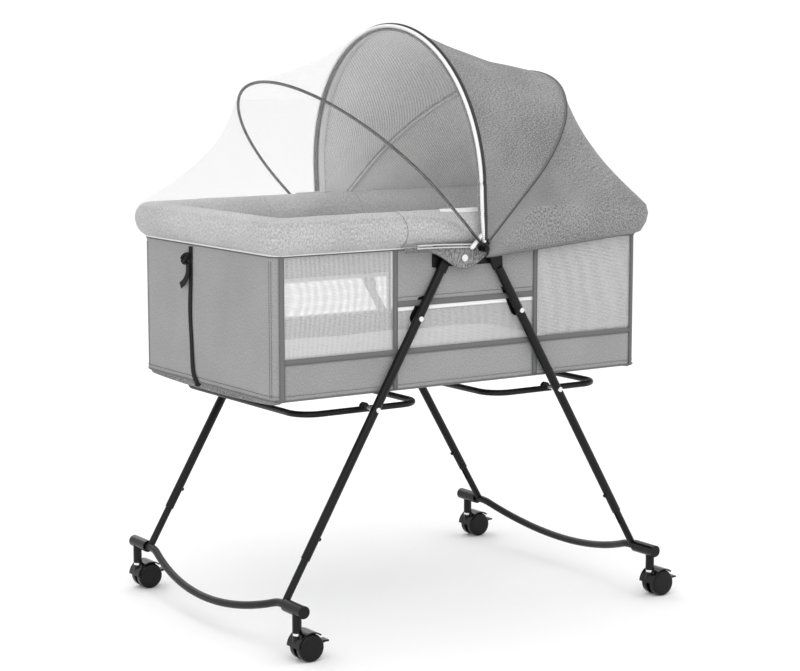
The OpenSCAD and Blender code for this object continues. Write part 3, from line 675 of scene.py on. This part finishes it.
def build_walls():
    """The end walls, lower bands, middle panels and mesh windows, with their bindings and stitches."""
    low, high = WALL_LOW.z, WALL_HIGH.z
    edge = WINDOWS["right"][1]
    half_turn = wall_half_turn()
    end_length = half_turn - 2 * edge
    band_top = WINDOWS["left"][2]
    walls = []
    for k, side in enumerate(("front", "back")):
        base = half_turn * k
        flip = 1 if k == 0 else -1
        end_name = "right" if k == 0 else "left"
        end = band_points(base + edge, base + edge + end_length, low, high, 22, 70, 3 + k)
        walls.append(cloth_sheet(f"wall_{end_name}_end", end, 0.0028, [WALL_CLOTH, WALL_LINING]))
        band = band_points(base - edge, base + edge, low, band_top, 8, 76, 5 + k, -0.0014)
        walls.append(cloth_sheet(f"wall_{side}_band", band, 0.0028, [WALL_CLOTH, WALL_LINING]))
        middle = WINDOWS["middle"]
        u0, u1 = base + middle[0] - 0.006, base + middle[1] + 0.006
        panel = band_points(u0, u1, middle[3], high, 12, 34, 7 + k)
        walls.append(cloth_sheet(f"wall_{side}_panel", panel, 0.0028, [WALL_CLOTH, WALL_LINING]))
        for name, (x0, x1, z0, z1) in WINDOWS.items():
            u0, u1 = sorted((base + flip * x0, base + flip * x1))
            grid = band_points(u0 - 0.003, u1 + 0.003, z0 - 0.004, z1 + 0.006, 14, 24, 9 + k, -0.0022)
            window = cloth_sheet(f"window_{side}_{name}", grid, 0.0006, [WINDOW_MESH])
            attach(window, "basket")
            if name == "left" and k == 0:
                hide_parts("mesh_windows")
        bindings = []
        for u in (-edge, -0.151, 0.151, edge):
            foot = low + 0.004 if abs(u) < edge else low
            line, normals = wall_line(base + u, base + u, foot, high, 30, 0.0022)
            hand, place = "lr"[u > 0], int(abs(u) * 1000)
            name = f"binding_{side}_{hand}{place}"
            bindings.append(ribbon(name, line, normals, 0.009, 0.0016, BINDING, 0.0006))
            for shift in (-0.0030, 0.0030):
                across = base + u + shift
                line, normals = wall_line(across, across, low + 0.006, high - 0.02, 30, 0.0034)
                name = f"stitch_{side}_{place}_{hand}{'ab'[shift > 0]}"
                bindings.append(stitches(name, line, normals, THREAD))
        line, normals = wall_line(base - edge, base + edge, band_top, band_top, 60, 0.0022)
        bindings.append(ribbon(f"binding_{side}_low", line, normals, 0.010, 0.0016, BINDING, 0.0006))
        line, normals = wall_line(base - edge, base + edge, band_top - 0.003, band_top - 0.003, 60, 0.0034)
        bindings.append(stitches(f"stitch_{side}_low", line, normals, THREAD))
        z = middle[3] + 0.003
        line, normals = wall_line(base - 0.147, base + 0.147, z, z, 30, 0.0022)
        bindings.append(ribbon(f"hem_{side}", line, normals, 0.010, 0.0014, BINDING, 0.0005))
        line, normals = wall_line(base - 0.147, base + 0.147, z + 0.012, z + 0.012, 30, 0.0026)
        bindings.append(stitches(f"stitch_{side}_hem", line, normals, THREAD))
        line, normals = wall_line(base - 0.147, base + 0.147, z - 0.0085, z - 0.0085, 30, 0.001)
        bindings.append(ribbon(f"pale_edge_{side}", line, normals, 0.007, 0.0012, WHITE_TAPE))
        for u in (edge + 0.021, -edge - 0.021):
            for shift in (0, 0.004):
                across = base + u + shift
                line, normals = wall_line(across, across, low + 0.006, high - 0.02, 30, 0.002)
                name = f"corner_{side}_{'lr'[u > 0]}{'ab'[shift > 0]}"
                bindings.append(stitches(name, line, normals, THREAD))
        for piece in bindings:
            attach(piece, "basket")
    for piece in walls:
        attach(piece, "basket")
    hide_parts("basket_walls")
    # The seam round the bottom edge
    ring, normals = outline(WALL_HIGH.x, WALL_HIGH.y, CORNER, 60, 8)
    seam = tube("bottom_piping", np.c_[ring, np.full(len(ring), low + 0.002)], 0.0022, BINDING, ring=True)
    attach(seam, "basket")
    line = np.c_[ring + normals * 0.0026, np.full(len(ring), low + 0.010)]
    line = np.vstack([line, line[:1]])
    out = np.c_[np.vstack([normals, normals[:1]]), np.zeros(len(ring) + 1)]
    seam = stitches("bottom_stitches", line, out, THREAD)
    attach(seam, "basket")


def build_floor():
    """The stiffened cloth floor, bowed down a little between its seams, and its edge below each end wall."""
    half_x, half_y = FLOOR_HIGH.x, FLOOR_HIGH.y
    grid = []
    for i in range(25):
        y = half_y * (2 * i / 24 - 1)
        grid.append([(half_x * (2 * j / 48 - 1), y,
                      FLOOR_LOW.z + 0.0022 + 0.0012 * abs(math.sin(math.pi * j / 12)) ** 0.5
                      + wrinkle((j * 0.03, y, 0), 0.1, 12) * 0.0006) for j in range(49)])
    floor = cloth_sheet("basket_floor", grid, 0.003, [WALL_CLOTH, WALL_LINING])
    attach(floor, "basket")
    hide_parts("floor_panel")
    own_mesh(floor)
    # The floor's turned-down edge shows as a dark band under each end wall
    end_u = wall_half_turn() / 2
    reach = WALL_HIGH.y - CORNER + 0.030
    for name, u in (("right", end_u), ("left", end_u + wall_half_turn())):
        grid = []
        for depth in (0.004, 0.0, -0.004, -0.008, -0.011):
            line = wall_line(u - reach, u + reach, 0, 0, 60, -0.0022 + depth * 0.25)[0]
            sag = np.sin(np.linspace(0, math.pi, 61)) ** 0.4 if depth < 0 else np.ones(61)
            grid.append([(x, y, WALL_LOW.z + depth * k) for (x, y, _), k in zip(line, sag)])
        edge = cloth_sheet(f"floor_edge_{name}", np.asarray(grid), 0.0016, [WALL_CLOTH])
        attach(edge, "basket")


def build_mattress():
    """A thin quilted mattress: crowned, with stitched-down lines across it."""
    half_x, half_y = MATTRESS_HIGH.x - 0.006, MATTRESS_HIGH.y - 0.006
    low, high = MATTRESS_LOW.z + 0.0015, MATTRESS_HIGH.z - 0.004
    rows, cols = 44, 72
    top, bottom = [], []
    for i in range(rows + 1):
        v = 2 * i / rows - 1
        line_top, line_bottom = [], []
        for j in range(cols + 1):
            u = 2 * j / cols - 1
            edge = (1 - abs(u) ** 8) ** 0.5 * (1 - abs(v) ** 6) ** 0.5
            quilt = abs(math.sin(2 * math.pi * (u + 1)) * math.sin(1.5 * math.pi * (v + 1))) ** 0.35
            soft = wrinkle((u * half_x, v * half_y, 0), 0.05, 14) * 0.0008
            rise = (low + high) / 2 + (high - low) / 2 * edge * (0.72 + 0.28 * quilt) + soft * edge
            sink = (low + high) / 2 - (high - low) / 2 * edge
            line_top.append((u * half_x, v * half_y, rise))
            line_bottom.append((u * half_x, v * half_y, sink))
        top.append(line_top)
        bottom.append(line_bottom)
    count = (rows + 1) * (cols + 1)
    points = np.concatenate([np.asarray(top).reshape(-1, 3), np.asarray(bottom).reshape(-1, 3)])
    index = np.arange(count).reshape(rows + 1, cols + 1)
    a, b, c, d = (index[:-1, :-1], index[:-1, 1:], index[1:, 1:], index[1:, :-1])
    faces = np.stack([a, b, c, d], 2).reshape(-1, 4)
    under = np.stack([a, d, c, b], 2).reshape(-1, 4) + count
    around = np.concatenate([index[0, :-1], index[:-1, -1], index[-1, :0:-1], index[:0:-1, 0]])
    after = np.roll(around, -1)
    hem = np.stack([after, around, around + count, after + count], axis=1)
    pad = new_piece("mattress_pad", points, np.concatenate([faces, under, hem]).tolist(), [QUILT_CLOTH],
                    points[:, :2])
    puff(pad, 0.006, 3.0, 0.0025)
    box_uvs(pad)
    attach(pad, "mattress")
    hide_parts("mattress")
    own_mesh(pad)


# ---------- canopy ----------

def hoop(node, wire):
    """Lean, half width and reach of a hoop's centre line, read from its CAD node."""
    far = max((v.co for v in frame["nodes"][node].data.vertices),
              key=lambda p: math.hypot(p.x - PIVOT.x, p.z - PIVOT.z))
    across, up = far.x - PIVOT.x, far.z - PIVOT.z
    return {"lean": math.atan2(across, up), "reach": math.hypot(across, up) - wire / 2,
            "width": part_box(node)[1].y - wire / 2, "wire": wire}


REAR = hoop("rear_hoop", 0.006)
FRONT = hoop("front_hoop", 0.006)
NET_HOOP = hoop("net_hoop", 0.004)


def hoop_line(h, count, start, gap=0.0, grow=0.0):
    """Points round a hoop from its front end to its back end; gap moves them round the pivot,
    grow outwards in the hoop's own plane."""
    width = h["width"] + grow
    straight = h["reach"] - h["width"]
    side, arc = straight - start, math.pi * width
    line = []
    for k in range(count + 1):
        s = (2 * side + arc) * k / count
        if s < side:
            y, up = -width, start + s
        elif s < side + arc:
            a = (s - side) / width
            y, up = -width * math.cos(a), straight + width * math.sin(a)
        else:
            y, up = width, straight - (s - side - arc)
        lean = h["lean"] + gap / max(up, 0.05)
        line.append((PIVOT.x + up * math.sin(lean), y, PIVOT.z + up * math.cos(lean)))
    return np.asarray(line)


def hoop_normals(h, count, start):
    """Directions that point outwards from a hoop, in its own plane."""
    return (hoop_line(h, count, start, 0, 0.01) - hoop_line(h, count, start)) / 0.01


def rim_line(from_x, grow, z, count, flip=1):
    """The rim's outline from the front, round one end, to the back; flip is -1 for the left end."""
    l, w, r = RIM_HIGH.x + grow, RIM_HIGH.y + grow, RIM_CORNER + grow
    side, arc, end = l - r - from_x, math.pi * r / 2, 2 * (w - r)
    line = []
    for k in range(count + 1):
        s = (2 * side + 2 * arc + end) * k / count
        if s < side:
            x, y = from_x + s, -w
        elif s < side + arc:
            a = (s - side) / r
            x, y = l - r + r * math.sin(a), -w + r - r * math.cos(a)
        elif s < side + arc + end:
            x, y = l, -w + r + s - side - arc
        elif s < side + 2 * arc + end:
            a = (s - side - arc - end) / r
            x, y = l - r + r * math.cos(a), w - r + r * math.sin(a)
        else:
            x, y = l - r - (s - side - 2 * arc - end), w
        line.append((flip * x, y, z))
    return np.asarray(line)


def between(a, b, rows, bow=0.0, soft=0.0, seed=0):
    """Rows of points from line a to line b. bow pulls the middle in towards the basket."""
    grid = []
    count = len(a) - 1
    for i in range(rows + 1):
        k = i / rows
        row = []
        for j in range(count + 1):
            p = a[j] + (b[j] - a[j]) * k
            t = math.sin(math.pi * j / count)
            inward = Vector((PIVOT.x, 0, PIVOT.z)) - Vector(p)
            inward = inward.normalized() if inward.length > 1e-6 else inward
            pull = bow * t * math.sin(math.pi * k)
            pull += soft * math.sin(math.pi * k) * wrinkle(p, 0.07, seed)
            row.append(tuple(Vector(p) + inward * pull))
        grid.append(row)
    return np.asarray(grid)


COLS = 96
START = 0.020


def build_cover():
    """The fixed half of the canopy, from the front hoop back to the rear one."""
    front = hoop_line(FRONT, COLS, START, 0.0012, 0.0045)
    rear = hoop_line(REAR, COLS, START, -0.0008, 0.0045)
    grid = between(front, rear, 22, 0.011, 0.003, 21)
    cover = cloth_sheet("canopy_cover_cloth", grid, 0.0016, [CANOPY_CLOTH, CANOPY_LINING])
    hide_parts("canopy_cover")
    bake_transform(cover)


# The skirt over the rim, row by row: distance out from the rim and height above its underside at
# the end of the basket, then the same distance and the share of the way down to the hem at the hub
SKIRT = ((-0.0010, 0.0530, 0.0050, 0.20), (0.0030, 0.0380, 0.0055, 0.45), (-0.0005, 0.0220, 0.0045, 0.70),
         (-0.0100, 0.0055, 0.0015, 0.90), (-0.0225, 0.0002, -0.0020, 1.0))


def tail_grid():
    """The tail's cloth: from the rear hoop over the rim's crest, then down its outside to the hem."""
    top = hoop_line(REAR, COLS, START, 0.0010, 0.0045)
    inner = rim_line(TAIL_START_X, 0, 0, COLS)
    way = (rim_line(TAIL_START_X, 0.01, 0, COLS) - inner) / 0.01
    rise = np.clip((inner[:, 0] - 0.04) / 0.34, 0, 1)
    crest = inner + way * (0.0035 - 0.0140 * rise)[:, None]
    crest[:, 2] = np.minimum(RIM_HIGH.z + 0.0005, top[:, 2] - 0.012)
    hem_z = RIM_LOW.z - 0.021
    rows = [between(top, crest, 20, 0.013, 0.003, 23)]
    for out, height, near_out, share in SKIRT:
        row = inner + way * (near_out + (out - near_out) * rise)[:, None]
        near_z = crest[:, 2] + (hem_z - crest[:, 2]) * share
        row[:, 2] = near_z + (RIM_LOW.z + height - near_z) * rise
        rows.append(row[None])
    return np.concatenate(rows)


def build_tail():
    """The tail, from the rear hoop down over the rim's end, in one sheet with its skirt."""
    grid = tail_grid()
    tail = cloth_sheet("canopy_tail_cloth", grid, 0.0016, [CANOPY_CLOTH, TAIL_LINING])
    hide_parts("canopy_tail")
    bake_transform(tail)
    hem = tube("tail_hem", grid[-1], 0.0018, BINDING, 8)
    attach(hem, "basket")
    line = grid[-2] + (grid[-1] - grid[-2]) * 0.3
    out = rim_line(TAIL_START_X, 0.01, 0, COLS) - rim_line(TAIL_START_X, 0, 0, COLS)
    out /= np.maximum(np.linalg.norm(out, axis=1, keepdims=True), 1e-9)
    seam = stitches("tail_stitches", line + out * 0.0012, out, THREAD)
    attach(seam, "basket")


def build_nets():
    """The sheer net: one panel from the front hoop to the net hoop, one from there to the rim."""
    front = hoop_line(FRONT, COLS, START, -0.0030, 0.0040)
    low = hoop_line(NET_HOOP, COLS, START, 0.0006, 0.0034)
    grid = between(low, front, 16, 0.012, 0.002, 25)
    upper = cloth_sheet("net_upper_cloth", grid, 0.0006, [NET])
    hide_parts("net_upper")
    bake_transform(upper)
    top = hoop_line(NET_HOOP, COLS, START, -0.0006, 0.0034)
    edge = rim_line(NET_START_X, -0.004, RIM_HIGH.z - 0.006, COLS, -1)
    grid = between(top, edge, 18, 0.030, 0.003, 27)
    lower = cloth_sheet("net_lower_cloth", grid, 0.0006, [NET])
    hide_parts("net_lower")
    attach(lower, "net_hoop")
    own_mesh(lower)


def build_hoop_trim():
    """Bindings, piping and zip of the canopy's front edge, the rear hoop's seam and the net's casing."""
    steps = 120
    out = hoop_normals(FRONT, steps, 0.016)
    tubes = (
        # name, body, hoop, start, gap, grow, radius, material, sides
        ("front_binding", "front_hoop", FRONT, 0.016, 0.0020, 0.0056, 0.0030, DARK_BINDING, 10),
        ("front_piping", "front_hoop", FRONT, 0.012, -0.0034, 0.0030, 0.0034, WHITE_TAPE, 12),
        ("rear_seam", "rear_hoop", REAR, 0.018, 0.0, 0.0070, 0.0008, DARK_BINDING, 8),
        ("rear_outer_casing", "rear_hoop", REAR, 0.018, 0.0, 0.0046, 0.0026, BINDING, 10),
        ("rear_casing", "rear_hoop", REAR, 0.024, 0.0, 0.0, 0.0041, TAIL_LINING, 12),
        ("rear_inner_seam", "rear_hoop", REAR, 0.026, -0.0036, -0.0016, 0.0010, THREAD, 8),
        ("net_casing", "net_hoop", NET_HOOP, 0.020, 0.0, 0.0, 0.0027, DARK_BINDING, 10),
    )
    pieces = [(tube(name, hoop_line(h, steps, start, gap, grow), radius, material, sides), body)
              for name, body, h, start, gap, grow, radius, material, sides in tubes]
    facing = hoop_line(FRONT, steps, 0.030, 0.0095, -0.0038)
    pieces.append((ribbon("front_facing", facing, -out, 0.013, 0.001, WHITE_TAPE), "front_hoop"))
    zip_line = hoop_line(FRONT, steps, 0.020, -0.0046, -0.0030)
    pieces.append((ribbon("net_zip_tape", zip_line, -out, 0.007, 0.0012, BINDING), "front_hoop"))
    teeth = hoop_line(FRONT, steps, 0.024, -0.0052, -0.0042)
    pieces.append((stitches("net_zip_teeth", teeth, -out, THREAD, 0.003, 0.002, 0.0008), "front_hoop"))
    for piece, body in pieces:
        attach(piece, body)


# ---------- small pieces on the basket ----------

def build_flaps():
    """Cloth flaps over the leg pivots, with pale piping and the hoops' end clips."""
    low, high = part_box("hub_flaps")
    face = high.y
    middle = (low.x + high.x) / 2 - 0.004
    half = (high.x - low.x) / 2
    left = low.x - 0.034
    drop = high.z - low.z
    for side, name in ((-1, "front"), (1, "back")):
        grid = []
        rows, cols = 12, 48
        for i in range(rows + 1):
            v = i / rows
            row = []
            for j in range(cols + 1):
                x = left + (high.x - left) * j / cols
                u = max(-1, min(1, (x - middle) / half))
                bell = (0.5 + 0.5 * math.cos(math.pi * u)) ** 1.5
                z = high.z + 0.002 - (0.008 + (drop - 0.009) * bell) * v
                out = -0.0012 - 0.0014 * (1 - v) + wrinkle((x, v * 0.04, side), 0.03, 31) * 0.0006
                row.append((x, side * (face + out), z))
            grid.append(row if side > 0 else row[::-1])
        flap = cloth_sheet(f"hub_flap_{name}", grid, 0.002, [WALL_CLOTH])
        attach(flap, "basket")
        edge = np.asarray(grid[-1]) + np.array((0, side * 0.0004, 0))
        piping = tube(f"flap_piping_{name}", edge, 0.0009, BINDING, 8)
        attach(piping, "basket")
        if side < 0:
            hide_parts("hub_flaps")
        for place, level in (("upper", 0.0055), ("lower", 0.0005)):
            line = [(PIVOT.x - 0.132 + 0.122 * k / 30, side * (face + 0.0030 + level * 0.25),
                     high.z + level - 0.0035 * (k / 30) ** 2) for k in range(31)]
            bar = tube(f"binding_line_{name}_{place}", line, 0.0013, PALE_TAPE, 8)
            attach(bar, "basket")
        for h, body in ((FRONT, "front_hoop"), (REAR, "rear_hoop")):
            way = Vector((math.sin(h["lean"]), 0, math.cos(h["lean"])))
            y = side * (h["width"] + 0.0005)
            ends = [Vector((PIVOT.x, y, PIVOT.z)) + way * d for d in np.linspace(0.006, 0.030, 8)]
            clip_name = f"hoop_end_{body}_{name}"
            clip = tube(clip_name, [tuple(p) for p in ends], 0.0036, PLASTIC, 14, flat=0.9, up=(0, 1, 0))
            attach(clip, body)
        low_end = (PIVOT.x - 0.025, side * (face + 0.013), PIVOT.z + 0.002)
        high_end = (PIVOT.x - 0.004, side * (face + 0.014), PIVOT.z + 0.024)
        end = tube(f"piping_end_{name}", smooth_line([low_end, high_end], 6), 0.0036, WHITE_TAPE, 12)
        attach(end, "basket")
        line = smooth_line([(PIVOT.x + 0.012, side * 0.249, RIM_HIGH.z - 0.0005),
                            (PIVOT.x - 0.030, side * 0.246, RIM_HIGH.z - 0.0010),
                            (PIVOT.x - 0.072, side * 0.242, RIM_HIGH.z - 0.0008)], 20)
        out = np.tile((0, side * 0.9, 0.44), (20, 1))
        hem = ribbon(f"net_hem_{name}", line, out, 0.008, 0.001, WHITE_TAPE)
        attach(hem, "basket")


def build_strap():
    """The webbing strap on the left end wall, with its knot and loose tail."""
    low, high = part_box("tie_strap")
    x = WALL_LOW.x - 0.0034
    y = (low.y + high.y) / 2 + 0.004
    top = high.z
    bottom = WALL_LOW.z - 0.003
    line = smooth_line([(x, y, top), (x - 0.0008, y - 0.001, top - 0.05), (x - 0.0016, y + 0.002, 0.56),
                        (x - 0.001, y - 0.001, 0.5), (x - 0.0008, y - 0.004, 0.452),
                        (x - 0.0002, y - 0.013, 0.434), (x + 0.004, y - 0.020, bottom),
                        (x + 0.044, y - 0.022, bottom + 0.0006)], 90)
    normals = np.tile((-1.0, 0, 0), (90, 1))
    for k in range(90):
        under = min(1, max(0, (k - 76) / 7))
        normals[k] = (-(1 - under), 0, -under)
    band = webbing("strap_band", line, normals)
    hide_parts("tie_strap")
    knot = []
    for k in range(60):
        a = 2 * math.pi * 2.3 * k / 59
        knot.append((x - 0.0040 - 0.0018 * math.cos(a * 1.5), y + 0.011 + 0.0095 * math.cos(a),
                     top - 0.022 + 0.009 * math.sin(a * 0.77)))
    lump = tube("strap_knot", knot, 0.0042, WEBBING, 10, flat=0.6)
    tail = smooth_line([(x - 0.0045, y + 0.002, top - 0.030), (x - 0.005, y + 0.003, top - 0.048),
                        (x - 0.0062, y + 0.012, top - 0.062), (x - 0.0070, y + 0.026, top - 0.071)], 30)
    loose = webbing("strap_tail", tail, np.tile((-1.0, 0, 0), (30, 1)))
    for piece in (band, lump, loose):
        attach(piece, "basket")


# ---------- CAD nodes that show ----------

def dress_frame():
    """Gives each shown CAD node its material and softened edges."""
    slots = {s["node"]: s["material_slot"] for s in frame["record"]["subparts"]}
    looks = {"steel_black": STEEL, "plastic_black": PLASTIC, "steel_bright": PLATE}
    for name, node in frame["nodes"].items():
        if node.hide_render:
            continue
        node.data.materials.clear()
        node.data.materials.append(looks.get(slots[name], WALL_CLOTH))
        edge = node.modifiers.new("soft edges", "BEVEL")
        edge.width = 0.0005
        edge.segments = 2
        edge.limit_method = "ANGLE"
        edge.angle_limit = math.radians(35)


# ---------- studio ----------

def build_studio():
    """A plain pale floor, soft light from all round, and the camera."""
    floor, tree, shader = node_material("pale floor")
    shade = add(tree, "ShaderNodeTexNoise", in_Scale=2.0)
    tree.links.new(ramp(tree, shade.outputs["Fac"], grey(0.96), grey(0.98)), shader.inputs["Base Color"])
    shader.inputs["Roughness"].default_value = 0.9
    bpy.ops.mesh.primitive_plane_add(size=60, location=(0, 0, 0))
    ground = bpy.context.object
    ground.name = "ground"
    ground.data.materials.append(floor)
    scene = bpy.context.scene
    scene.world = bpy.data.worlds.new("studio")
    scene.world.use_nodes = True
    sky = scene.world.node_tree.nodes["Background"]
    sky.inputs["Color"].default_value = (1, 1, 1, 1)
    sky.inputs["Strength"].default_value = 1.05
    scene.view_settings.view_transform = "Standard"
    for name, place, size, power in LAMPS:
        lamp = bpy.data.lights.new(name, "AREA")
        lamp.size = size
        lamp.energy = power
        holder = bpy.data.objects.new(name, lamp)
        holder.location = place
        holder.rotation_euler = (LAMP_TARGET - Vector(place)).to_track_quat("-Z", "Y").to_euler()
        scene.collection.objects.link(holder)
    lens = bpy.data.cameras.new("camera")
    lens.lens = CAMERA_LENS_MM
    lens.sensor_width = CAMERA_SENSOR_MM
    camera = bpy.data.objects.new("camera", lens)
    camera.location = CAMERA_PLACE
    camera.rotation_euler = (CAMERA_TARGET - camera.location).to_track_quat("-Z", "Y").to_euler()
    scene.collection.objects.link(camera)
    scene.camera = camera


build_rim()
build_walls()
build_floor()
build_mattress()
build_cover()
build_tail()
build_nets()
build_hoop_trim()
build_flaps()
build_strap()
dress_frame()
build_studio()
